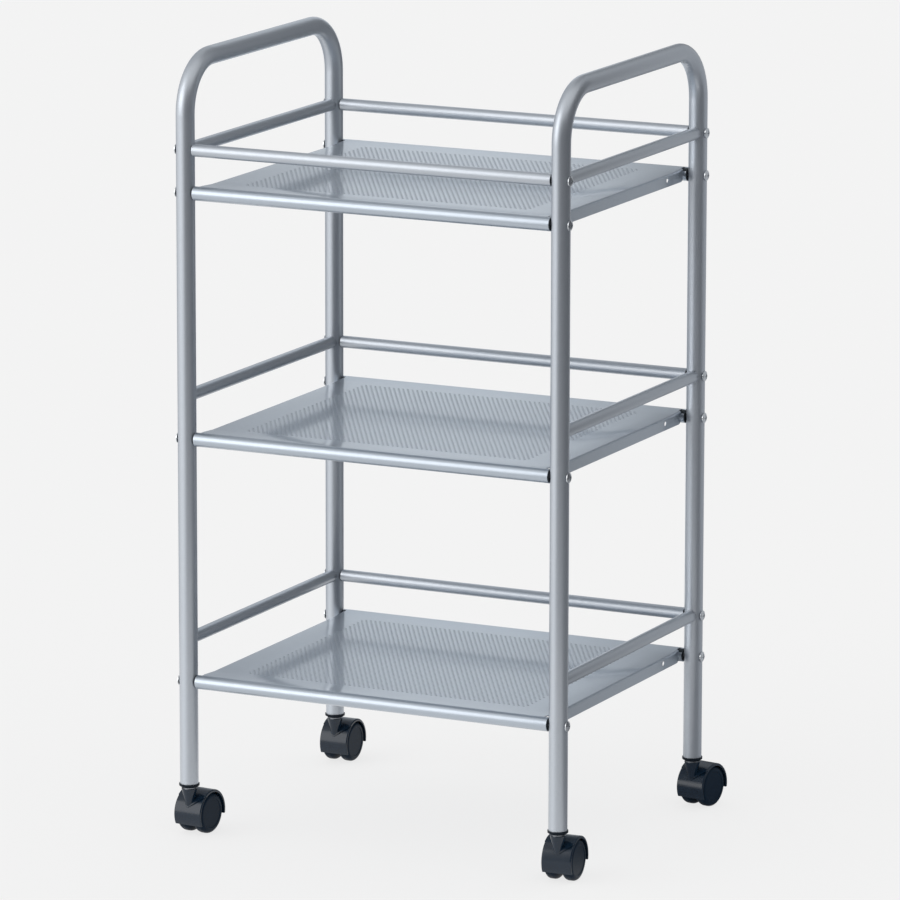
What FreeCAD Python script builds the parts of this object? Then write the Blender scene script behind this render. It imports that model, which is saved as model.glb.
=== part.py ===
import FreeCAD, Part
import math
import os

# Utility cart: two bent-tube end frames, rails, three pressed shelves and four swivel casters.
# Millimetres. +X to the right end frame, +Y to the rear, +Z up from the floor.

# End frames
post_spacing_y = 309.0    # front to rear, between post axes
post_od = 18.0
post_wall = 1.2
tube_end_z = 52.0         # open lower end of each post
handle_axis_z = 753.0     # axis of the push handle
handle_bend_r = 50.0      # bend radius on the tube axis

# Cross bars and rails
bar_od = 12.0
bar_wall = 1.0
weld_gap = 0.02           # between a coped bar end and its post
rail_od = 12.0
rail_wall = 1.0
butt_gap = 0.1            # between a flat tube end and the post it is screwed to

# Shelf heights
lowest_shelf_z = 153.2    # axis of the bottom shelf's rolled edges
shelf_pitch = 237.6
rail_rise = 41.2          # rails and cross bars above the rolled edges' axis

# Pressed shelf
sheet = 0.8
roll_od = 13.6            # tube-like rolled front and rear edges, level with the pan on top
roll_wrap = 300.0         # degrees of curl
roll_overhang = 2.2       # rolled edge beyond the side flange
roll_end_gap = 0.8        # rolled edge to the post
lap = 1.6                 # pan and rolled edge share this much of the sheet's length
shelf_width = 368.0       # over the side flanges
flange_drop = 13.0
flange_bend_r = 2.0       # outer bend radius
flange_end_gap = 0.6      # flange ends to the rolled edges
flange_corner_r = 5.0     # rounded lower corners of the flanges
notch_inset = 2.5         # corner notch, inwards from the flange
field_inset_x = 34.5      # perforated field, inwards from the side flanges
field_inset_y = 29.5      # and from the rolled edges' axis
opening_count_x = 12      # openings from left to right
opening_count_y = 10      # and from front to rear
opening = 14.5            # square
flange_hole_d = 5.0
flange_hole_setback = 43.5  # from the rolled edges' axis
flange_hole_rise = 6.4      # above the flange's lower edge

# Screws and the plugs they pull on
screw_d = 4.9
screw_length = 28.0       # under the head
screw_head_d = 10.0
screw_head_h = 2.4
screw_head_edge = 0.8     # straight rim below the dome
recess_span = 5.4         # cross recess
recess_w = 1.2
recess_depth = 1.3
screw_chamfer = 0.8
post_hole_d = 5.5
plug_length = 15.0
plug_bore_d = 5.0
plug_clear = 0.1          # radial, in the tube or rolled edge

# Caster sockets
sleeve_clear = 0.05       # radial, in the post
sleeve_length = 34.0      # above the tube end
sleeve_lead = 1.5         # chamfer at the upper end
socket_flange_d = 19.8
socket_flange_t = 3.5
socket_rim_t = 2.0        # straight rim; the flange tapers below it
socket_foot_d = 15.6
snap_slot_w = 2.0         # slots that let the sleeve's fingers spread
snap_slot_length = 14.0

# Caster stems
stem_d = 8.0
stem_clear = 0.05         # radial running clearance in the sleeve
stem_in_hood = 10.0
stem_over_sleeve = 2.0    # stem end above the sleeve
stem_chamfer = 1.0
collar_d = 12.5
collar_t = 1.4
collar_clear = 0.1        # under the socket flange
groove_depth = 0.6        # snap groove round the stem
groove_w = 2.6
groove_from_end = 7.0     # middle of the groove below the stem's upper end
bead_gap = 0.2            # snap bead to groove side

# Caster wheels and hoods
wheel_d = 40.0
wheel_w = 12.2
wheel_face_inset = 0.45   # outer face inside the hood's edge
tread_round = 4.2
tread_inner_round = 5.0
face_dish = 0.4           # shallow recess in the wheel's outer face
face_rim = 5.5
axle_d = 5.0
axle_clear = 0.05         # radial running clearance in the wheel
axle_cap = 2.0            # closed end of the wheel's bore
axle_end_gap = 0.5
axle_chamfer = 0.5
web_t = 4.2               # hood's web between the wheels
web_side_clear = 0.45     # wheel's inner face to the web
hood_wall = 1.5
hood_clear = 0.7          # radial, round the tread
hood_edge_round = 1.2
hood_front_angle = 25.0   # front edge below the axle, degrees
hood_rear_angle = 10.0    # rear edge below the axle, degrees
hood_web_drop = 7.0       # web below the axle
shield_raise = 1.0        # raised shield over the fenders
shield_tip_z = 8.5        # its tip above the axle
shield_side_z = 18.5      # where its lower edges reach the hood's sides
boss_top_d = 15.4
boss_foot_d = 6.0
boss_foot_z = 7.0         # foot of the tapered boss above the axle
caster_trail = 17.5       # axle behind the stem

# Standing angle of each caster about its stem, degrees
rest_swivel = {"front_left": -5.0, "front_right": 3.0, "rear_left": 0.5, "rear_right": -9.0}

# Sizes that follow from the ones above
post_r = post_od / 2
wheel_r = wheel_d / 2
pocket_r = wheel_r + hood_clear
fender_r = pocket_r + hood_wall
shield_r = fender_r + shield_raise
pan_rise = roll_od / 2
flange_setback = roll_od / 2 + flange_end_gap  # flange ends, from the rolled edges' axis
web_half = web_t / 2
hood_half = web_half + web_side_clear + wheel_w + wheel_face_inset
roll_half = shelf_width / 2 + roll_overhang
post_spacing_x = 2 * (roll_half + roll_end_gap + post_r)  # left to right, between post axes
tube_half = post_spacing_x / 2 - post_r - butt_gap
collar_top_z = tube_end_z - socket_flange_t - collar_clear
boss_top_z = collar_top_z - collar_t
stem_top_z = tube_end_z + sleeve_length + stem_over_sleeve
groove_z = stem_top_z - groove_from_end

# The origin stands on the floor at the middle of the overall length, front sockets to rear casters
front_reach = socket_flange_d / 2
rear_reach = caster_trail + shield_r
middle_y = (rear_reach - front_reach) / 2
front_y = -post_spacing_y / 2 - middle_y
rear_y = post_spacing_y / 2 - middle_y
shelf_levels = ["bottom", "middle", "top"]
end_x = {"left": -post_spacing_x / 2, "right": post_spacing_x / 2}


def vec(x, y, z):
    return FreeCAD.Vector(x, y, z)


def shelf_z(level):
    return lowest_shelf_z + shelf_pitch * shelf_levels.index(level)


def rail_z(level):
    return shelf_z(level) + rail_rise


rails = {
    "front_top_rail": (front_y, rail_z("top")),
    "rear_top_rail": (rear_y, rail_z("top")),
    "rear_middle_rail": (rear_y, rail_z("middle")),
    "rear_bottom_rail": (rear_y, rail_z("bottom")),
}
rolled_edges = [(y, shelf_z(level)) for level in shelf_levels for y in (front_y, rear_y)]


def save(name, shape):
    shape.exportStep("parts/" + name + ".step")


def cylinder(d, start, end):
    along = end.sub(start)
    return Part.makeCylinder(d / 2, along.Length, start, along)


def straight_tube(od, wall, start, end):
    return cylinder(od, start, end).cut(cylinder(od - 2 * wall, start, end))


def arc_edge(centre, radius, from_deg, to_deg, place):
    points = []
    for deg in (from_deg, (from_deg + to_deg) / 2, to_deg):
        a = math.radians(deg)
        points.append(place(centre[0] + radius * math.cos(a), centre[1] + radius * math.sin(a)))
    return Part.Arc(*points).toShape()


def line_edge(a, b):
    return Part.LineSegment(a, b).toShape()


def revolved(profile, axis):
    # Closed (radius, height) polygon turned about an axis through the origin
    if axis == "Z":
        points = [vec(r, 0, h) for r, h in profile]
        direction = vec(0, 0, 1)
    else:
        points = [vec(h, 0, r) for r, h in profile]
        direction = vec(1, 0, 0)
    face = Part.Face(Part.makePolygon(points + points[:1]))
    return face.revolve(vec(0, 0, 0), direction, 360)


def bent_tube(x, radius):
    # Up one post, over the handle and down the other, as one solid round bar
    bend_z = handle_axis_z - handle_bend_r
    pieces = []
    for y, side in ((front_y, 1), (rear_y, -1)):
        pieces.append(Part.makeCylinder(radius, bend_z - tube_end_z, vec(x, y, tube_end_z)))
        disc = Part.Face(Part.Wire([Part.makeCircle(radius, vec(x, y, bend_z), vec(0, 0, 1))]))
        centre = vec(x, y + side * handle_bend_r, bend_z)
        pieces.append(disc.revolve(centre, vec(-side, 0, 0), 90))
    handle = vec(x, front_y + handle_bend_r, handle_axis_z)
    pieces.append(Part.makeCylinder(radius, post_spacing_y - 2 * handle_bend_r, handle, vec(0, 1, 0)))
    return pieces[0].fuse(pieces[1:])


def end_frame(x):
    frame = bent_tube(x, post_r).cut(bent_tube(x, post_r - post_wall)).removeSplitter()
    for y, z in list(rails.values()) + rolled_edges:
        frame = frame.cut(cylinder(post_hole_d, vec(x - post_od, y, z), vec(x + post_od, y, z)))
    return frame


def cross_bar(x, z):
    bar = straight_tube(bar_od, bar_wall, vec(x, front_y, z), vec(x, rear_y, z))
    for y in (front_y, rear_y):
        post = cylinder(post_od + 2 * weld_gap, vec(x, y, z - post_od), vec(x, y, z + post_od))
        bar = bar.cut(post)
    return bar


def rail(y, z):
    return straight_tube(rail_od, rail_wall, vec(-tube_half, y, z), vec(tube_half, y, z))


def flanged_pan():
    half = shelf_width / 2
    top = pan_rise
    low = top - flange_drop
    bend = flange_bend_r
    end_y = post_spacing_y / 2 - flange_setback

    def place(x, z):
        return vec(x, -end_y, z)

    edges = [line_edge(place(-half, low), place(-half, top - bend)),
             arc_edge((-half + bend, top - bend), bend, 180, 90, place),
             line_edge(place(-half + bend, top), place(half - bend, top)),
             arc_edge((half - bend, top - bend), bend, 90, 0, place),
             line_edge(place(half, top - bend), place(half, low)),
             line_edge(place(half, low), place(half - sheet, low)),
             line_edge(place(half - sheet, low), place(half - sheet, top - bend)),
             arc_edge((half - bend, top - bend), bend - sheet, 0, 90, place),
             line_edge(place(half - bend, top - sheet), place(-half + bend, top - sheet)),
             arc_edge((-half + bend, top - bend), bend - sheet, 90, 180, place),
             line_edge(place(-half + sheet, top - bend), place(-half + sheet, low)),
             line_edge(place(-half + sheet, low), place(-half, low))]
    pan = Part.Face(Part.Wire(edges)).extrude(vec(0, 2 * end_y, 0))
    return pan.cut(flange_corners(half, end_y, low))


def flange_corners(half, end_y, low):
    # What the rounding takes off the square lower corners, across both flanges
    r = flange_corner_r
    cuts = []
    for side in (-1, 1):
        y = side * (end_y - r)
        square = Part.makeBox(2 * half, r, r, vec(-half, min(y, y + side * r), low))
        cuts.append(square.cut(cylinder(2 * r, vec(-half, y, low + r), vec(half, y, low + r))))
    return cuts


def rolled_edge(side):
    # side is -1 at the front and +1 at the rear; the sheet leaves the pan level and curls under
    axis_y = side * post_spacing_y / 2
    outer = roll_od / 2
    bore = outer - sheet
    half_turn = 90 + roll_wrap / 2
    last = 90 + roll_wrap

    def curl(half_x, reach):
        def place(u, w):
            return vec(-half_x, axis_y - side * u, w)

        def at(radius, deg):
            return place(radius * math.cos(math.radians(deg)), radius * math.sin(math.radians(deg)))

        edges = [arc_edge((0, 0), outer, 90, half_turn, place),
                 arc_edge((0, 0), outer, half_turn, last, place),
                 line_edge(at(outer, last), at(bore, last)),
                 arc_edge((0, 0), bore, last, half_turn, place),
                 arc_edge((0, 0), bore, half_turn, 90, place)]
        corners = [place(0, bore), place(reach, bore), place(reach, outer), place(0, outer)]
        if reach == 0:
            corners = [place(0, bore), place(0, outer)]
        edges += [line_edge(a, b) for a, b in zip(corners, corners[1:])]
        return Part.Face(Part.Wire(edges)).extrude(vec(2 * half_x, 0, 0))

    return curl(shelf_width / 2 - notch_inset, flange_setback + lap).fuse(curl(roll_half, 0))


def field_openings():
    # Plain grid of square openings through the pan
    half_x = shelf_width / 2 - field_inset_x
    half_y = post_spacing_y / 2 - field_inset_y
    pitch_x = 2 * half_x / opening_count_x
    pitch_y = 2 * half_y / opening_count_y
    low = pan_rise - 2 * sheet
    punches = []
    for i in range(opening_count_x):
        for j in range(opening_count_y):
            x = (i + 0.5) * pitch_x - half_x - opening / 2
            y = (j + 0.5) * pitch_y - half_y - opening / 2
            punches.append(Part.makeBox(opening, opening, 3 * sheet, vec(x, y, low)))
    return Part.makeCompound(punches)


def shelf(z):
    pan = flanged_pan().fuse([rolled_edge(-1), rolled_edge(1)]).cut(field_openings())
    hole_y = post_spacing_y / 2 - flange_hole_setback
    hole_z = pan_rise - flange_drop + flange_hole_rise
    for y in (-hole_y, hole_y):
        across = cylinder(flange_hole_d, vec(-shelf_width, y, hole_z), vec(shelf_width, y, hole_z))
        pan = pan.cut(across)
    pan = pan.removeSplitter()
    pan.translate(vec(0, (front_y + rear_y) / 2, z))
    return pan


def screw():
    # Head outwards along +X from the seat at the origin
    r = screw_d / 2
    head = screw_head_d / 2
    tip = -screw_length
    crown = screw_head_h - screw_head_edge
    dome_r = (head * head + crown * crown) / (2 * crown)

    def place(x, z):
        return vec(x, 0, z)

    centre = (screw_head_h - dome_r, 0)
    rim_deg = math.degrees(math.asin(head / dome_r))
    edges = [line_edge(place(tip, 0), place(tip, r - screw_chamfer)),
             line_edge(place(tip, r - screw_chamfer), place(tip + screw_chamfer, r)),
             line_edge(place(tip + screw_chamfer, r), place(0, r)),
             line_edge(place(0, r), place(0, head)),
             line_edge(place(0, head), place(screw_head_edge, head)),
             arc_edge(centre, dome_r, rim_deg, 0, place),
             line_edge(place(screw_head_h, 0), place(tip, 0))]
    body = Part.Face(Part.Wire(edges)).revolve(vec(0, 0, 0), vec(1, 0, 0), 360)
    floor = screw_head_h - recess_depth
    for sy, sz in ((recess_span, recess_w), (recess_w, recess_span)):
        body = body.cut(Part.makeBox(screw_head_h, sy, sz, vec(floor, -sy / 2, -sz / 2)))
    return body


def plug(od):
    # Threaded plug from its outer face at the origin inwards along -X
    body = cylinder(od, vec(-plug_length, 0, 0), vec(0, 0, 0))
    return body.cut(cylinder(plug_bore_d, vec(-plug_length, 0, 0), vec(0, 0, 0)))


def at_both_ends(make, reach, places):
    solids = []
    for y, z in places:
        for turn in (0, 180):
            solid = make.copy()
            solid.Placement = FreeCAD.Placement(
                vec(reach if turn == 0 else -reach, y, z), FreeCAD.Rotation(vec(0, 0, 1), turn))
            solids.append(solid)
    return Part.makeCompound(solids)


def socket():
    # Sleeve in the post, flange under it, snap bead near the top; stem axis on Z
    r_out = post_r - post_wall - sleeve_clear
    r_in = stem_d / 2 + stem_clear
    bead_r = r_in - groove_depth
    bead_half = groove_w / 2 - bead_gap
    low = tube_end_z - socket_flange_t
    top = tube_end_z + sleeve_length
    profile = [(r_in, low), (socket_foot_d / 2, low), (socket_flange_d / 2, tube_end_z - socket_rim_t),
               (socket_flange_d / 2, tube_end_z), (r_out, tube_end_z), (r_out, top - sleeve_lead),
               (r_out - sleeve_lead, top), (r_in, top),
               (r_in, groove_z + bead_half + groove_depth), (bead_r, groove_z + bead_half),
               (bead_r, groove_z - bead_half), (r_in, groove_z - bead_half - groove_depth)]
    body = revolved(profile, "Z")
    for sx, sy in ((post_od, snap_slot_w), (snap_slot_w, post_od)):
        slot = Part.makeBox(sx, sy, snap_slot_length, vec(-sx / 2, -sy / 2, top - snap_slot_length))
        body = body.cut(slot)
    return body


def stem():
    r = stem_d / 2
    groove_r = r - groove_depth
    half = groove_w / 2
    foot = boss_top_z - stem_in_hood
    profile = [(0, foot), (r, foot), (r, boss_top_z), (collar_d / 2, boss_top_z),
               (collar_d / 2, collar_top_z), (r, collar_top_z),
               (r, groove_z - half - groove_depth), (groove_r, groove_z - half),
               (groove_r, groove_z + half), (r, groove_z + half + groove_depth),
               (r, stem_top_z - stem_chamfer), (r - stem_chamfer, stem_top_z), (0, stem_top_z)]
    return revolved(profile, "Z")


def barrel(radius, half):
    # Rounded-edge barrel on the axle, along X
    edge = hood_edge_round

    def place(x, r):
        return vec(x, 0, r)

    edges = [line_edge(place(-half, 0), place(-half, radius - edge)),
             arc_edge((-half + edge, radius - edge), edge, 180, 90, place),
             line_edge(place(-half + edge, radius), place(half - edge, radius)),
             arc_edge((half - edge, radius - edge), edge, 90, 0, place),
             line_edge(place(half, radius - edge), place(half, 0)),
             line_edge(place(half, 0), place(-half, 0))]
    return Part.Face(Part.Wire(edges)).revolve(vec(0, 0, 0), vec(1, 0, 0), 360)


def side_slab(radius):
    # Hood seen from the side: from its front edge over the top to its rear edge, and the web below
    def place(y, z):
        return vec(-hood_half, y, z)

    def at(deg):
        return place(radius * math.cos(math.radians(deg)), radius * math.sin(math.radians(deg)))

    first = -hood_rear_angle
    last = 180 + hood_front_angle
    middle = (first + last) / 2
    foot_y = hood_web_drop / 2
    points = [at(last), place(-foot_y, -hood_web_drop), place(foot_y, -hood_web_drop), at(first)]
    edges = [arc_edge((0, 0), radius, first, middle, place), arc_edge((0, 0), radius, middle, last, place)]
    edges += [line_edge(a, b) for a, b in zip(points, points[1:])]
    return Part.Face(Part.Wire(edges)).extrude(vec(2 * hood_half, 0, 0))


def shield():
    # Raised cover over the fenders, with a V-shaped lower edge in front
    span = 2 * shield_r
    outline = [(0, shield_tip_z), (hood_half, shield_side_z), (hood_half, span),
               (-hood_half, span), (-hood_half, shield_side_z), (0, shield_tip_z)]
    points = [vec(x, -span, z) for x, z in outline]
    wedge = Part.Face(Part.makePolygon(points)).extrude(vec(0, span, 0))
    behind = Part.makeBox(2 * hood_half, span, 2 * span, vec(-hood_half, 0, -span))
    return barrel(shield_r, hood_half).common(wedge.fuse(behind))


def hood():
    # Built round the axle, then moved so that the stem's axis is on Z
    body = barrel(fender_r, hood_half).fuse(shield()).common(side_slab(shield_r))
    rise = boss_top_z - wheel_r
    boss_foot = vec(0, -caster_trail, boss_foot_z)
    body = body.fuse(Part.makeCone(boss_foot_d / 2, boss_top_d / 2, rise - boss_foot_z, boss_foot))
    for side in (-1, 1):
        pocket = Part.makeCylinder(pocket_r, hood_half, vec(side * web_half, 0, 0), vec(side, 0, 0))
        body = body.cut(pocket)
    body = body.cut(cylinder(axle_d, vec(-hood_half, 0, 0), vec(hood_half, 0, 0)))
    body = body.cut(cylinder(stem_d, vec(0, -caster_trail, rise - stem_in_hood), vec(0, -caster_trail, rise)))
    body = body.removeSplitter()
    body.translate(vec(0, caster_trail, wheel_r))
    return body


def axle():
    half = hood_half - wheel_face_inset - axle_cap - axle_end_gap
    r = axle_d / 2
    profile = [(0, -half), (r - axle_chamfer, -half), (r, -half + axle_chamfer), (r, half - axle_chamfer),
               (r - axle_chamfer, half), (0, half)]
    pin = revolved(profile, "X")
    pin.translate(vec(0, caster_trail, wheel_r))
    return pin


def wheel(side):
    # Rounded tread, shallow outer face, blind bore open towards the web
    inner = web_half + web_side_clear
    outer = inner + wheel_w
    bore = axle_d / 2 + axle_clear
    cap = outer - axle_cap

    def place(x, r):
        return vec(side * x, 0, r)

    rim = wheel_r - face_rim
    face = outer - face_dish
    inner_round = tread_inner_round
    edges = [line_edge(place(inner, bore), place(inner, wheel_r - inner_round)),
             arc_edge((inner + inner_round, wheel_r - inner_round), inner_round, 180, 90, place),
             line_edge(place(inner + inner_round, wheel_r), place(outer - tread_round, wheel_r)),
             arc_edge((outer - tread_round, wheel_r - tread_round), tread_round, 90, 0, place),
             line_edge(place(outer, wheel_r - tread_round), place(outer, rim)),
             line_edge(place(outer, rim), place(face, rim - face_dish)),
             line_edge(place(face, rim - face_dish), place(face, 0)),
             line_edge(place(face, 0), place(cap, 0)),
             line_edge(place(cap, 0), place(cap, bore)),
             line_edge(place(cap, bore), place(inner, bore))]
    body = Part.Face(Part.Wire(edges)).revolve(vec(0, 0, 0), vec(1, 0, 0), 360)
    body.translate(vec(0, caster_trail, wheel_r))
    return body


def save_caster(corner, pieces):
    row, end = corner.split("_")
    place = FreeCAD.Placement(vec(end_x[end], front_y if row == "front" else rear_y, 0),
                              FreeCAD.Rotation(vec(0, 0, 1), rest_swivel[corner]))
    for name, shape in pieces.items():
        standing = shape.copy()
        standing.Placement = place.multiply(shape.Placement)
        save(corner + "_caster_" + name, standing)


os.makedirs("parts", exist_ok=True)

for end, x in end_x.items():
    save(end + "_end_frame", end_frame(x))
    for level in shelf_levels:
        save(end + "_" + level + "_cross_bar", cross_bar(x, rail_z(level)))

for name, (y, z) in rails.items():
    save(name, rail(y, z))

for level in shelf_levels:
    save(level + "_shelf", shelf(shelf_z(level)))

screw_seat = post_spacing_x / 2 + post_r
save("rail_screws", at_both_ends(screw(), screw_seat, rails.values()))
save("shelf_screws", at_both_ends(screw(), screw_seat, rolled_edges))
rail_plug = plug(rail_od - 2 * rail_wall - 2 * plug_clear)
shelf_plug = plug(roll_od - 2 * sheet - 2 * plug_clear)
save("rail_plugs", at_both_ends(rail_plug, tube_half, rails.values()))
save("shelf_plugs", at_both_ends(shelf_plug, tube_half, rolled_edges))

caster = {"socket": socket(), "stem": stem(), "hood": hood(), "axle": axle(),
          "left_wheel": wheel(-1), "right_wheel": wheel(1)}
for corner in rest_swivel:
    save_caster(corner, caster)
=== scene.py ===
import math

import bmesh
import bpy
from mathutils import Matrix, Vector


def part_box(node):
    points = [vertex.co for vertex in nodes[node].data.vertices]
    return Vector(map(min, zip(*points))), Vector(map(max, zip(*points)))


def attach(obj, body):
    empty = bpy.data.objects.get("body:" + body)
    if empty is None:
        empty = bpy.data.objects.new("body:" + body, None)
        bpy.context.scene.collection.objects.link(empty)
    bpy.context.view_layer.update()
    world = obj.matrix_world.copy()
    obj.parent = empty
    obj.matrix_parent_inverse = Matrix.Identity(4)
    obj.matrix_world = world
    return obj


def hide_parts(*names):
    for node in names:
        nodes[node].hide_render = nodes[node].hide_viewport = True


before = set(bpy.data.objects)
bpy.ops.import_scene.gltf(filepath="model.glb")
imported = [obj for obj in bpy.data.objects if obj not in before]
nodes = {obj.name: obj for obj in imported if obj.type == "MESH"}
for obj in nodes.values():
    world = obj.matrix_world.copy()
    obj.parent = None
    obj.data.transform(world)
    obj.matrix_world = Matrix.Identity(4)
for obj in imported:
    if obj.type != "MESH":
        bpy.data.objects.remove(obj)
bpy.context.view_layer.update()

mm = 0.001


def linear(hexCode):
    # sRGB hex to the linear colour that a socket takes
    parts = [int(hexCode[i:i + 2], 16) / 255 for i in (1, 3, 5)]
    return tuple(c / 12.92 if c <= 0.04045 else ((c + 0.055) / 1.055) ** 2.4 for c in parts) + (1.0,)


def addNode(tree, kind, settings=None, links=None):
    # settings are attributes or input values, links are input names with the socket that feeds them
    node = tree.nodes.new(kind)
    for name, value in (settings or {}).items():
        if isinstance(name, str) and hasattr(node, name):
            setattr(node, name, value)
        else:
            node.inputs[name].default_value = value
    for name, source in (links or {}).items():
        tree.links.new(source, node.inputs[name])
    return node


def newFinish(name):
    material = bpy.data.materials.new(name)
    material.use_nodes = True
    material.node_tree.nodes.clear()
    return material, material.node_tree


# Polyester powder coat with aluminium flake, sprayed and baked on bent steel tube:
# a broad satin glow, a faint orange peel, and flecks that catch the light
tubeCoat = {
    "colour": "#B9BFC7",
    "fleckColour": "#C3C9D0",
    "metallic": 0.9,
    "roughness": (0.41, 0.51),
    "clear": 0.7,          # clear binder over the flake, which mirrors at a slant
    "clearRoughness": 0.1,
    "fleckSize": 0.9,      # mm; real flakes are 0.05 mm, drawn coarser so that they show
    "peelSize": 2.5,       # mm, one ripple of the orange peel
    "peelDepth": 0.006,    # mm
}


def powderCoat(name, look):
    material, tree = newFinish(name)
    place = addNode(tree, "ShaderNodeTexCoord")
    fleck = addNode(tree, "ShaderNodeTexNoise", {"Scale": 1 / (look["fleckSize"] * mm), "Detail": 1.0},
                    {"Vector": place.outputs["Object"]})
    tint = addNode(tree, "ShaderNodeMix", {"data_type": "RGBA", 6: linear(look["colour"]),
                                           7: linear(look["fleckColour"])}, {0: fleck.outputs["Fac"]})
    peel = addNode(tree, "ShaderNodeTexNoise", {"Scale": 1 / (look["peelSize"] * mm), "Detail": 2.0},
                   {"Vector": place.outputs["Object"]})
    smoothest, roughest = look["roughness"]
    satin = addNode(tree, "ShaderNodeMapRange", {"To Min": smoothest, "To Max": roughest},
                    {"Value": peel.outputs["Fac"]})
    ripple = addNode(tree, "ShaderNodeBump", {"Strength": 1.0, "Distance": look["peelDepth"] * mm},
                     {"Height": peel.outputs["Fac"]})
    coat = addNode(tree, "ShaderNodeBsdfPrincipled",
                   {"Metallic": look["metallic"], "Coat Weight": look["clear"],
                    "Coat Roughness": look["clearRoughness"]},
                   {"Base Color": tint.outputs[2], "Roughness": satin.outputs["Result"],
                    "Normal": ripple.outputs["Normal"]})
    addNode(tree, "ShaderNodeOutputMaterial", None, {"Surface": coat.outputs["BSDF"]})
    return material


tubeFinish = powderCoat("powderCoatedSteelTube", tubeCoat)

# The same coat on flat pressed sheet lies smoother, so the pan mirrors the posts softly; its colour is
# set a little darker and bluer than the tube's, as painted shade on the pans
shadedSheetCoat = {
    "colour": "#B1BAC4",
    "fleckColour": "#B9C2CC",
    "metallic": 0.92,
    "roughness": (0.36, 0.44),
    "clear": 1.0,
    "clearRoughness": 0.08,
    "fleckSize": 0.9,      # mm, coarser than real for the same reason
    "peelSize": 6.0,       # mm
    "peelDepth": 0.003,    # mm
}
shadedSheetFinish = powderCoat("powderCoatedPressedSheetWithPaintedShade", shadedSheetCoat)

# Inside a punched hole the sheared steel is rough and the coat thin; its colour is also set darker than
# the sheet's as painted shade, so the holes read darker than the sheet
holeWallCoatAndShade = {
    "colour": "#A2A9B2",
    "fleckColour": "#ACB3BC",
    "metallic": 0.5,
    "roughness": (0.52, 0.68),
    "clear": 0.0,
    "clearRoughness": 0.1,
    "fleckSize": 0.4,      # mm
    "peelSize": 0.8,       # mm, the torn part of the sheared wall
    "peelDepth": 0.02,     # mm
}
holeWallFinishAndShade = powderCoat("thinCoatAndPaintedShadeInHoles", holeWallCoatAndShade)

# Zinc-plated steel screws, cold headed: bright and cool, with faint turning marks on the crown
zincLook = {
    "colour": "#EEF0F2",
    "dullColour": "#DCE0E4",
    "roughness": (0.21, 0.35),
    "cloudSize": 3.0,      # mm, patches of brighter and duller zinc
    "markSpacing": 0.5,    # mm
    "markDepth": 0.01,     # mm
}


def zincPlate(look):
    material, tree = newFinish("zincPlatedScrewSteel")
    place = addNode(tree, "ShaderNodeTexCoord")
    cloud = addNode(tree, "ShaderNodeTexNoise", {"Scale": 1 / (look["cloudSize"] * mm), "Detail": 3.0},
                    {"Vector": place.outputs["Object"]})
    tint = addNode(tree, "ShaderNodeMix", {"data_type": "RGBA", 6: linear(look["dullColour"]),
                                           7: linear(look["colour"])}, {0: cloud.outputs["Fac"]})
    marks = addNode(tree, "ShaderNodeTexNoise", {"Scale": 1 / (look["markSpacing"] * mm), "Detail": 1.0},
                    {"Vector": place.outputs["Object"]})
    bump = addNode(tree, "ShaderNodeBump", {"Strength": 1.0, "Distance": look["markDepth"] * mm},
                   {"Height": marks.outputs["Fac"]})
    smoothest, roughest = look["roughness"]
    satin = addNode(tree, "ShaderNodeMapRange", {"To Min": smoothest, "To Max": roughest},
                    {"Value": cloud.outputs["Fac"]})
    plate = addNode(tree, "ShaderNodeBsdfPrincipled", {"Metallic": 1.0},
                    {"Base Color": tint.outputs[2], "Roughness": satin.outputs["Result"],
                     "Normal": bump.outputs["Normal"]})
    addNode(tree, "ShaderNodeOutputMaterial", None, {"Surface": plate.outputs["BSDF"]})
    return material


screwFinish = zincPlate(zincLook)

# Drawn mild steel for stems and axle pins: fine lines along the bar and a grey oily sheen
pinLook = {
    "colour": "#A7ABB0",
    "lineColour": "#8B8F95",
    "roughness": (0.25, 0.4),
    "lineSpacing": 0.6,    # mm
    "lineLength": 20.0,    # mm
    "lineDepth": 0.008,    # mm
}


def drawnSteel(look):
    material, tree = newFinish("drawnSteelPin")
    place = addNode(tree, "ShaderNodeTexCoord")
    across = 1 / (look["lineSpacing"] * mm)
    along = 1 / (look["lineLength"] * mm)
    stretch = addNode(tree, "ShaderNodeMapping", {"Scale": (across, across, along)},
                      {"Vector": place.outputs["Object"]})
    lines = addNode(tree, "ShaderNodeTexNoise", {"Scale": 1.0, "Detail": 2.0},
                    {"Vector": stretch.outputs["Vector"]})
    tint = addNode(tree, "ShaderNodeMix", {"data_type": "RGBA", 6: linear(look["lineColour"]),
                                           7: linear(look["colour"])}, {0: lines.outputs["Fac"]})
    bump = addNode(tree, "ShaderNodeBump", {"Strength": 1.0, "Distance": look["lineDepth"] * mm},
                   {"Height": lines.outputs["Fac"]})
    smoothest, roughest = look["roughness"]
    satin = addNode(tree, "ShaderNodeMapRange", {"To Min": smoothest, "To Max": roughest},
                    {"Value": lines.outputs["Fac"]})
    pin = addNode(tree, "ShaderNodeBsdfPrincipled", {"Metallic": 1.0},
                  {"Base Color": tint.outputs[2], "Roughness": satin.outputs["Result"],
                   "Normal": bump.outputs["Normal"]})
    addNode(tree, "ShaderNodeOutputMaterial", None, {"Surface": pin.outputs["BSDF"]})
    return material


pinFinish = drawnSteel(pinLook)

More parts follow.
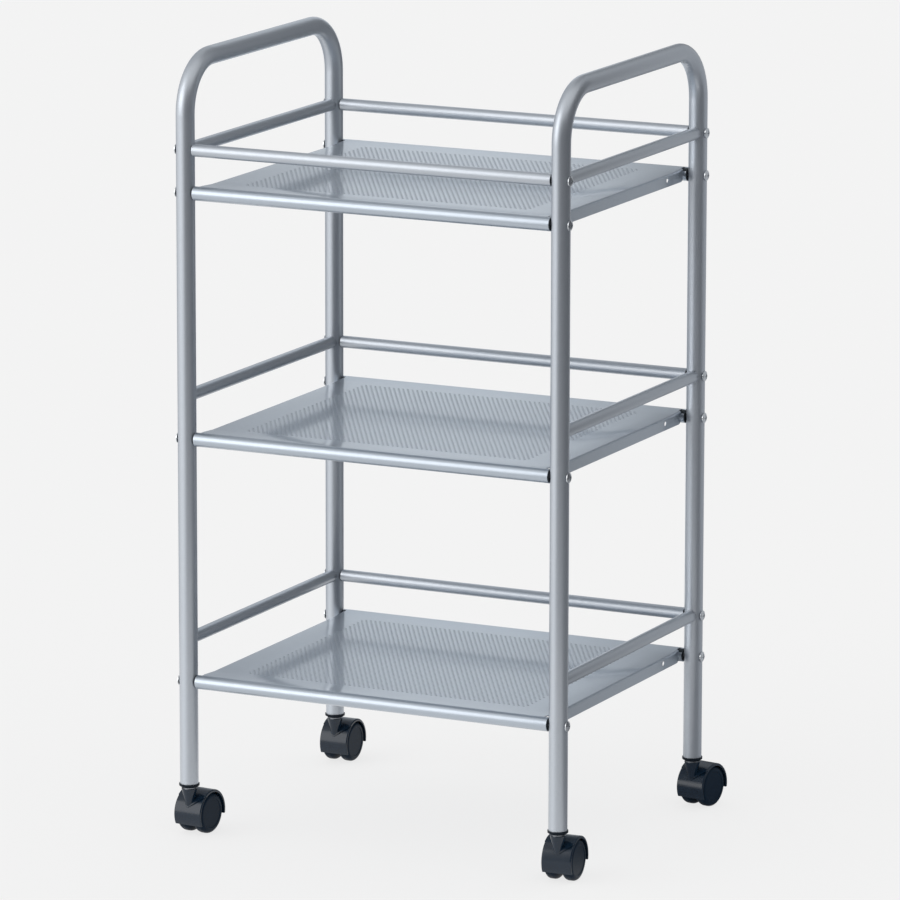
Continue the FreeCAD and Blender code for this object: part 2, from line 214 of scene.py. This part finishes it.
# Moulded thermoplastics: blue-black, with a fine spark-eroded grain that dulls the gloss to a grey haze
hoodLook = {
    "colour": "#0C1B2A",
    "paleColour": "#112231",
    "ior": 1.54,           # ABS
    "gloss": 0.43,         # 0.5 is the full gloss of its index
    "roughness": (0.15, 0.27),
    "grainSize": 0.6,      # mm; the tool's grain is 0.1 mm, drawn coarser so that it shows
    "grainDepth": 0.012,   # mm
    "flowSize": 9.0,       # mm, cloudy flow of the melt
}
wheelLook = {
    "colour": "#0B1A28",
    "paleColour": "#0F202F",
    "ior": 1.53,           # nylon
    "gloss": 0.07,
    "roughness": (0.31, 0.43),
    "grainSize": 0.7,      # mm, coarser than real for the same reason
    "grainDepth": 0.012,   # mm
    "flowSize": 7.0,       # mm
}
socketLook = {
    "colour": "#0A131C",
    "paleColour": "#0F1923",
    "ior": 1.49,           # polypropylene
    "gloss": 0.15,
    "roughness": (0.31, 0.43),
    "grainSize": 0.6,      # mm, coarser than real for the same reason
    "grainDepth": 0.01,    # mm
    "flowSize": 8.0,       # mm
}
plugLook = {
    "colour": "#23282E",
    "paleColour": "#2C3238",
    "ior": 1.53,           # black nylon
    "gloss": 0.25,
    "roughness": (0.4, 0.52),
    "grainSize": 0.6,      # mm, coarser than real for the same reason
    "grainDepth": 0.01,    # mm
    "flowSize": 6.0,       # mm
}


def mouldedPlastic(name, look):
    material, tree = newFinish(name)
    place = addNode(tree, "ShaderNodeTexCoord")
    flow = addNode(tree, "ShaderNodeTexNoise", {"Scale": 1 / (look["flowSize"] * mm), "Detail": 3.0},
                   {"Vector": place.outputs["Object"]})
    tint = addNode(tree, "ShaderNodeMix", {"data_type": "RGBA", 6: linear(look["colour"]),
                                           7: linear(look["paleColour"])}, {0: flow.outputs["Fac"]})
    grain = addNode(tree, "ShaderNodeTexNoise", {"Scale": 1 / (look["grainSize"] * mm), "Detail": 2.0},
                    {"Vector": place.outputs["Object"]})
    bump = addNode(tree, "ShaderNodeBump", {"Strength": 1.0, "Distance": look["grainDepth"] * mm},
                   {"Height": grain.outputs["Fac"]})
    smoothest, roughest = look["roughness"]
    satin = addNode(tree, "ShaderNodeMapRange", {"To Min": smoothest, "To Max": roughest},
                    {"Value": flow.outputs["Fac"]})
    body = addNode(tree, "ShaderNodeBsdfPrincipled",
                   {"IOR": look["ior"], "Specular IOR Level": look["gloss"]},
                   {"Base Color": tint.outputs[2], "Roughness": satin.outputs["Result"],
                    "Normal": bump.outputs["Normal"]})
    addNode(tree, "ShaderNodeOutputMaterial", None, {"Surface": body.outputs["BSDF"]})
    return material


hoodFinish = mouldedPlastic("mouldedAbsHood", hoodLook)
wheelFinish = mouldedPlastic("mouldedNylonWheel", wheelLook)
socketFinish = mouldedPlastic("mouldedPolypropyleneSocket", socketLook)
plugFinish = mouldedPlastic("mouldedNylonPlug", plugLook)
print("finishes made:", len(bpy.data.materials))

# Which finish each kind of CAD node carries, by the end of its name
nodeFinishes = {
    "end_frame": tubeFinish,
    "cross_bar": tubeFinish,
    "rail": tubeFinish,
    "screws": screwFinish,
    "plugs": plugFinish,
    "socket": socketFinish,
    "stem": pinFinish,
    "axle": pinFinish,
    "hood": hoodFinish,
    "wheel": wheelFinish,
    "shelf": shadedSheetFinish,
}
for name, node in nodes.items():
    words = [word for word in nodeFinishes if name.endswith(word)]
    node.data.materials.clear()
    node.data.materials.append(nodeFinishes[words[0]])
print("CAD nodes finished")

# Perforated pressed shelf: one sheet, punched, flanged at the sides and rolled front and rear.
# Millimetres from the middle of the shelf, heights from the axis of the rolled edges
shelf = {
    "sheet": 0.8,
    "holePitch": 5.1,
    "holeSize": 2.7,
    "holeSides": 10,
    "holeRows": 57,         # odd, with one row through the middle
    "holesInRow": 58,       # rows between have one more
    "fieldHalf": (153.0, 127.0),   # flat, with the holes in it
    "fieldDrop": 0.8,       # field below the rolled edges' top
    "edgeFall": 0.9,        # pan's fall towards the flanges
    "edgeFallWidth": 22.0,
    "sideSteps": 9,         # strips from the field to the notch
    "endSteps": 6,          # strips from the field to the flange's end
    "lipSteps": 4,          # strips from there to the rolled edge
    "flangeHalf": 184.0,
    "flangeDrop": 13.0,
    "flangeEnd": 147.1,
    "flangeCorner": 5.0,
    "cornerSteps": 6,
    "bendRadius": 2.0,
    "bendSteps": 5,
    "sideHole": 5.0,
    "sideHoleSides": 24,
    "sideHoleEnd": 111.0,
    "sideHoleHeight": 0.2,
    "notchHalf": 181.5,
    "rollAxis": 154.5,
    "rollRadius": 6.8,
    "rollHalf": 186.2,
    "rollWrap": 300,        # degrees
    "rollSteps": 32,
    "sharpAngle": 40,       # degrees
}


def panHeight(x, y):
    # level in the field, rising to the rolled edges and falling a little to the flanges
    fieldY = shelf["fieldHalf"][1]
    toRoll = max(0.0, (abs(y) - fieldY) / (shelf["rollAxis"] - fieldY))
    bendX = shelf["flangeHalf"] - shelf["bendRadius"]
    toFlange = max(0.0, 1 - (bendX - abs(x)) / shelf["edgeFallWidth"])
    fall = shelf["edgeFall"] * toFlange ** 2 * (1 - toRoll) ** 2
    return shelf["rollRadius"] - shelf["fieldDrop"] * (1 - toRoll ** 2) - fall


def punchField(sheet):
    # one hexagon of sheet round each hole, in staggered rows that run left to right
    pitch = shelf["holePitch"]
    reach = pitch / math.sqrt(3)
    radius = shelf["holeSize"] / 2
    sides = shelf["holeSides"]
    z = panHeight(0, 0)
    shared = {}

    def corner(x, y):
        key = (round(2 * x / pitch), round(2 * y / reach))
        if key not in shared:
            shared[key] = sheet.verts.new((x, y, z))
        return shared[key]

    half = shelf["holeRows"] // 2
    for row in range(-half, half + 1):
        count = shelf["holesInRow"] + row % 2
        y = row * pitch * math.sqrt(3) / 2
        for place in range(count):
            x = (place - (count - 1) / 2) * pitch
            cell = [corner(x + reach * math.cos(math.radians(60 * k - 90)),
                           y + reach * math.sin(math.radians(60 * k - 90))) for k in range(6)]
            ring = [sheet.verts.new((x + radius * math.cos(2 * math.pi * k / sides - math.pi / 2),
                                     y + radius * math.sin(2 * math.pi * k / sides - math.pi / 2), z))
                    for k in range(sides)]
            turn = sides // 2
            sheet.faces.new(cell[0:4] + ring[turn::-1])
            sheet.faces.new(cell[3:6] + cell[0:1] + [ring[0]] + ring[:turn - 1:-1])
    return set(shared.values())


def loopEdges(sheet, loop):
    pairs = zip(loop, loop[1:] + loop[:1])
    return [sheet.edges.get(pair) or sheet.edges.new(pair) for pair in pairs]


def fillBetween(sheet, edges, normal):
    bmesh.ops.triangle_fill(sheet, use_beauty=True, use_dissolve=False, edges=edges, normal=normal)


def ladder(low, high, steps):
    return [low + (high - low) * step / steps for step in range(steps + 1)]


def layMargins(sheet):
    # grid of quads round the field, without the corner notches; returns its points by place
    fieldX, fieldY = shelf["fieldHalf"]
    bendX = shelf["flangeHalf"] - shelf["bendRadius"]
    right = ladder(fieldX, shelf["notchHalf"], shelf["sideSteps"]) + [bendX]
    rear = ladder(fieldY, shelf["flangeEnd"], shelf["endSteps"])
    rear += ladder(shelf["flangeEnd"], shelf["rollAxis"], shelf["lipSteps"])[1:]
    xs = [-x for x in reversed(right)] + right
    ys = [-y for y in reversed(rear)] + rear
    points = {(x, y): sheet.verts.new((x, y, panHeight(x, y))) for x in xs for y in ys
              if abs(x) < bendX or abs(y) <= shelf["flangeEnd"]}
    for x0, x1 in zip(xs, xs[1:]):
        for y0, y1 in zip(ys, ys[1:]):
            corners = [(x0, y0), (x1, y0), (x1, y1), (x0, y1)]
            field = x1 - x0 > fieldX and y1 - y0 > fieldY
            if not field and all(corner in points for corner in corners):
                sheet.faces.new([points[corner] for corner in corners])
    return points, xs, ys


def walkBorder(sheet, corners):
    # outer corners of the outermost hexagons, in order round the field
    links = {}
    for edge in sheet.edges:
        if edge.is_boundary and all(end in corners for end in edge.verts):
            for end in edge.verts:
                links.setdefault(end, []).append(edge.other_vert(end))
    border = [min(links, key=lambda corner: corner.co.x + corner.co.y)]
    border.append(min(links[border[0]], key=lambda corner: corner.co.y))
    while border[-1] is not border[0]:
        border.append([end for end in links[border[-1]] if end is not border[-2]][0])
    return border


def joinField(sheet, points, corners):
    # one flat face on each side, from the field's border to the margins
    border = walkBorder(sheet, corners)
    fieldX, fieldY = shelf["fieldHalf"]
    turns = ((-1, -1), (1, -1), (1, 1), (-1, 1), (-1, -1))
    ends = [max(range(len(border)), key=lambda i: border[i].co.x * x + border[i].co.y * y)
            for x, y in turns]
    ends[0], ends[-1] = 0, len(border) - 1
    rim = [points[(x * fieldX, y * fieldY)] for x, y in turns]
    for i in range(4):
        path = border[ends[i]:ends[i + 1] + 1]
        sheet.faces.new([rim[i], rim[i + 1]] + path[::-1])


def bendFlange(sheet, points, ys, side):
    # side is 1 at the right and -1 at the left
    radius = shelf["bendRadius"]
    end = shelf["flangeEnd"]
    bendX = shelf["flangeHalf"] - radius
    reach = [y for y in ys if abs(y) <= end]
    column = [points[(side * bendX, y)] for y in reach]
    for step in range(1, shelf["bendSteps"] + 1):
        angle = math.radians(90 * step / shelf["bendSteps"])
        x = side * (bendX + radius * math.sin(angle))
        drop = radius * (1 - math.cos(angle))
        lower = [sheet.verts.new((x, y, panHeight(bendX, y) - drop)) for y in reach]
        for i in range(len(reach) - 1):
            corners = (column[i], lower[i], lower[i + 1], column[i + 1])
            sheet.faces.new(corners if side > 0 else corners[::-1])
        column = lower
    hangFlange(sheet, column, side)


def hangFlange(sheet, column, side):
    # flat wall below the bend, with rounded lower corners and a hole near each end
    end = shelf["flangeEnd"]
    low = shelf["rollRadius"] - shelf["flangeDrop"]
    curve = shelf["flangeCorner"]
    x = side * shelf["flangeHalf"]
    wall = list(column)
    for fore, first in ((1, 0), (-1, 90)):
        for step in range(shelf["cornerSteps"] + 1):
            angle = math.radians(first + 90 * step / shelf["cornerSteps"])
            wall.append(sheet.verts.new((x, fore * (end - curve) + curve * math.cos(angle),
                                         low + curve - curve * math.sin(angle))))
    edges = loopEdges(sheet, wall)
    radius = shelf["sideHole"] / 2
    height = shelf["sideHoleHeight"]
    sides = shelf["sideHoleSides"]
    for y in (-shelf["sideHoleEnd"], shelf["sideHoleEnd"]):
        turns = [2 * math.pi * k / sides for k in range(sides)]
        ring = [sheet.verts.new((x, y + radius * math.cos(turn), height + radius * math.sin(turn)))
                for turn in turns]
        edges += loopEdges(sheet, ring)
    fillBetween(sheet, edges, (side, 0, 0))


def rollEdge(sheet, points, xs, side):
    # side is -1 at the front and 1 at the rear; the curl starts level with the pan and goes under
    axis = side * shelf["rollAxis"]
    radius = shelf["rollRadius"]
    notch = shelf["notchHalf"]
    stations = [-shelf["rollHalf"]] + [x for x in xs if abs(x) <= notch] + [shelf["rollHalf"]]
    rows = [[points.get((x, axis)) or sheet.verts.new((x, axis, radius)) for x in stations]]
    for step in range(1, shelf["rollSteps"] + 1):
        angle = math.radians(shelf["rollWrap"] * step / shelf["rollSteps"])
        y = axis + side * radius * math.sin(angle)
        rows.append([sheet.verts.new((x, y, radius * math.cos(angle))) for x in stations])
    for upper, lower in zip(rows, rows[1:]):
        for i in range(len(stations) - 1):
            corners = (lower[i], lower[i + 1], upper[i + 1], upper[i])
            sheet.faces.new(corners if side < 0 else corners[::-1])


def shelfSurface():
    sheet = bmesh.new()
    corners = punchField(sheet)
    points, xs, ys = layMargins(sheet)
    joinField(sheet, points, corners)
    for side in (-1, 1):
        bendFlange(sheet, points, ys, side)
        rollEdge(sheet, points, xs, side)
    surface = bpy.data.meshes.new("punchedShelf")
    sheet.to_mesh(surface)
    sheet.free()
    surface.transform(Matrix.Scale(mm, 4))
    surface.materials.append(shadedSheetFinish)
    surface.materials.append(holeWallFinishAndShade)
    return surface


def thickened(surface):
    # sheet thickness downwards and inwards, then hard edges only where the steel turns sharply
    draft = bpy.data.objects.new("shelfDraft", surface)
    bpy.context.scene.collection.objects.link(draft)
    solid = draft.modifiers.new("thickness", "SOLIDIFY")
    solid.thickness = shelf["sheet"] * mm
    solid.offset = -1
    solid.use_even_offset = True
    # hole walls take the rough thin coat, whose darker colour is painted shade
    solid.material_offset_rim = 1
    graph = bpy.context.evaluated_depsgraph_get()
    mesh = bpy.data.meshes.new_from_object(draft.evaluated_get(graph))
    bpy.data.objects.remove(draft)
    fieldX, fieldY = [half * mm for half in shelf["fieldHalf"]]
    for face in mesh.polygons:
        if abs(face.center.x) > fieldX or abs(face.center.y) > fieldY:
            face.material_index = 0     # outer edges of the sheet are fully coated
    mesh.shade_smooth()
    mesh.set_sharp_from_angle(angle=math.radians(shelf["sharpAngle"]))
    return mesh


shelfMesh = thickened(shelfSurface())
for level in ("bottom", "middle", "top"):
    low, high = [Vector(corner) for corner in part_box(level + "_shelf")]
    pan = bpy.data.objects.new(level + "PunchedShelf", shelfMesh)
    bpy.context.scene.collection.objects.link(pan)
    pan.location = (0, (low.y + high.y) / 2, high.z - shelf["rollRadius"] * mm)
    flat = pan.modifiers.new("flatAreas", "WEIGHTED_NORMAL")
    flat.keep_sharp = True
    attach(pan, "cart")
    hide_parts(level + "_shelf")
print("shelves punched:", len(shelfMesh.polygons), "faces each")

# Plain pale floor and soft studio light
studio = {
    "floorColour": "#F3F3F3",
    "floorGlow": 0.85,         # share of the floor that stays even; the rest shows the shadow
    "floorSize": 60.0,         # m
    "roomLight": 0.9,          # even light from all round
    "keyLight": 1.15,
    "keyFrom": (-0.6, -0.75, 0.28),   # direction to the key, at the front left
    "keySpread": 56,           # degrees across, as wide as a softbox near the cart
}


def seenRays(tree):
    # 1 where the camera, a gloss or a glass sees the surface
    rays = addNode(tree, "ShaderNodeLightPath")
    first = addNode(tree, "ShaderNodeMath", {"operation": "MAXIMUM"},
                    {0: rays.outputs["Is Camera Ray"], 1: rays.outputs["Is Glossy Ray"]})
    return addNode(tree, "ShaderNodeMath", {"operation": "MAXIMUM"},
                   {0: first.outputs["Value"], 1: rays.outputs["Is Transmission Ray"]})


def makeFloor():
    surface = bpy.data.meshes.new("floor")
    half = studio["floorSize"] / 2
    corners = [(-half, -half, 0), (half, -half, 0), (half, half, 0), (-half, half, 0)]
    surface.from_pydata(corners, [], [(0, 1, 2, 3)])
    floor = bpy.data.objects.new("floor", surface)
    bpy.context.scene.collection.objects.link(floor)
    material, tree = newFinish("paleFloor")
    matt = addNode(tree, "ShaderNodeBsdfDiffuse", {"Color": linear(studio["floorColour"])})
    even = addNode(tree, "ShaderNodeEmission", {"Color": linear(studio["floorColour"])})
    share = addNode(tree, "ShaderNodeMath", {"operation": "MULTIPLY", 1: studio["floorGlow"]},
                    {0: seenRays(tree).outputs["Value"]})
    both = addNode(tree, "ShaderNodeMixShader", None,
                   {0: share.outputs["Value"], 1: matt.outputs["BSDF"], 2: even.outputs["Emission"]})
    addNode(tree, "ShaderNodeOutputMaterial", None, {"Surface": both.outputs["Shader"]})
    surface.materials.append(material)


def makeWorld():
    world = bpy.data.worlds.new("studioRoom")
    world.use_nodes = True
    tree = world.node_tree
    tree.nodes.clear()
    room = addNode(tree, "ShaderNodeBackground",
                   {"Color": linear("#FFFFFF"), "Strength": studio["roomLight"]})
    pale = addNode(tree, "ShaderNodeBackground", {"Color": linear(studio["floorColour"])})
    both = addNode(tree, "ShaderNodeMixShader", None,
                   {0: seenRays(tree).outputs["Value"], 1: room.outputs["Background"],
                    2: pale.outputs["Background"]})
    addNode(tree, "ShaderNodeOutputWorld", None, {"Surface": both.outputs["Shader"]})
    bpy.context.scene.world = world


def makeKey():
    lamp = bpy.data.lights.new("keyLight", "SUN")
    lamp.energy = studio["keyLight"]
    lamp.angle = math.radians(studio["keySpread"])
    key = bpy.data.objects.new("keyLight", lamp)
    bpy.context.scene.collection.objects.link(key)
    key.rotation_euler = Vector(studio["keyFrom"]).to_track_quat("Z", "Y").to_euler()


# Glowing cards round the cart, seen in the gloss only: painted reflections that darken the tubes' right
# sides and tops, and give the pans and flanges their sheen. Metres, with tones at angles in degrees,
# which count from the camera's side of the cart round by its right
paintedReflectionCards = {
    "rightCard": {"radius": 1.2, "height": 1.5,
                  "tones": ((-40, "#F3F3F3"), (-24, "#5A5C60"), (112, "#5A5C60"))},
    "flangeCard": {"radius": 0.4, "height": 1.3,
                   "tones": ((88, "#B0B3B7"), (122, "#B0B3B7"), (140, "#6A6D71"))},
    "rearCard": {"radius": 0.9, "height": 1.3,
                 "tones": ((96, "#5A5C60"), (138, "#6A6D71"), (157, "#6A6D71"), (174, "#DEE5EC"),
                           (186, "#DEE5EC"), (200, "#A4A9B0"), (228, "#A4A9B0"), (255, "#F3F3F3"))},
    "floorCard": {"radius": 1.25, "height": 0.002, "lying": True,
                  "tones": ((30, "#F3F3F3"), (48, "#86888C"), (142, "#86888C"), (156, "#F3F3F3"))},
    "ceilingCard": {"radius": 3.0, "height": 1.7, "lying": True,
                    "tones": ((80, "#F3F3F3"), (95, "#7A7C80"), (160, "#7A7C80"), (176, "#BABCBF"),
                              (250, "#BABCBF"), (275, "#F3F3F3"))},
}
cardStep = 4     # degrees at most between the folds of a card


def toneAt(tones, angle):
    for (before, first), (after, second) in zip(tones, tones[1:]):
        if angle <= after:
            share = (angle - before) / (after - before)
            return [a + (b - a) * share for a, b in zip(linear(first), linear(second))]
    return linear(tones[-1][1])


def reflectionCardGlow():
    material, tree = newFinish("paintedReflectionCardGlow")
    # each card glows with its tone though it is no lamp: a painted reflection
    tone = addNode(tree, "ShaderNodeAttribute", {"attribute_name": "tone"})
    glow = addNode(tree, "ShaderNodeEmission", None, {"Color": tone.outputs["Color"]})
    addNode(tree, "ShaderNodeOutputMaterial", None, {"Surface": glow.outputs["Emission"]})
    return material


def makeCard(name, look, sight, material):
    # a standing card is a strip of an arc, a lying one is a fan at its height
    ahead = Vector((sight.x, sight.y, 0)).normalized()
    right = Vector((ahead.y, -ahead.x, 0))
    top = Vector((0, 0, look["height"]))
    low, high = look["tones"][0][0], look["tones"][-1][0]
    steps = math.ceil((high - low) / cardStep)
    corners, tones = [], []
    for angle in ladder(low, high, steps):
        turn = math.radians(angle)
        foot = (right * math.sin(turn) - ahead * math.cos(turn)) * look["radius"]
        corners += [top if look.get("lying") else foot, foot + top]
        tones += [toneAt(look["tones"], angle)] * 2
    surface = bpy.data.meshes.new(name)
    surface.from_pydata(corners, [], [(i, i + 1, i + 3, i + 2) for i in range(0, 2 * steps, 2)])
    paint = surface.color_attributes.new("tone", "FLOAT_COLOR", "POINT")
    for dot, tone in zip(paint.data, tones):
        dot.color = tone
    surface.materials.append(material)
    panel = bpy.data.objects.new(name, surface)
    bpy.context.scene.collection.objects.link(panel)
    panel.visible_camera = False      # seen in gloss only
    panel.visible_diffuse = False
    panel.visible_shadow = False


# Camera that was fitted to the tubes' edges, in metres, with the lens in millimetres
view = {
    "lens": 274.58,
    "sensor": 36,
    "shift": (0.00452, 0.00196),
    "stand": Vector((2.8385, -5.8127, 1.7299)),
    "aim": Vector((0.0051, -0.0200, 0.3685)),
    "roll": 0.094,     # degrees
    "reach": 200,
}


def makeCamera():
    lens = bpy.data.cameras.new("photoView")
    lens.lens = view["lens"]
    lens.sensor_width = view["sensor"]
    lens.shift_x, lens.shift_y = view["shift"]
    lens.clip_end = view["reach"]
    camera = bpy.data.objects.new("photoView", lens)
    bpy.context.scene.collection.objects.link(camera)
    turn = (view["aim"] - view["stand"]).to_track_quat("-Z", "Y").to_matrix().to_4x4()
    roll = Matrix.Rotation(math.radians(view["roll"]), 4, "Z")
    camera.matrix_world = Matrix.Translation(view["stand"]) @ turn @ roll
    bpy.context.scene.camera = camera


makeFloor()
makeWorld()
makeKey()
cardTone = reflectionCardGlow()
for name, look in paintedReflectionCards.items():
    makeCard(name, look, view["aim"] - view["stand"], cardTone)
makeCamera()
bpy.context.scene.view_settings.view_transform = "Standard"
print("studio set")
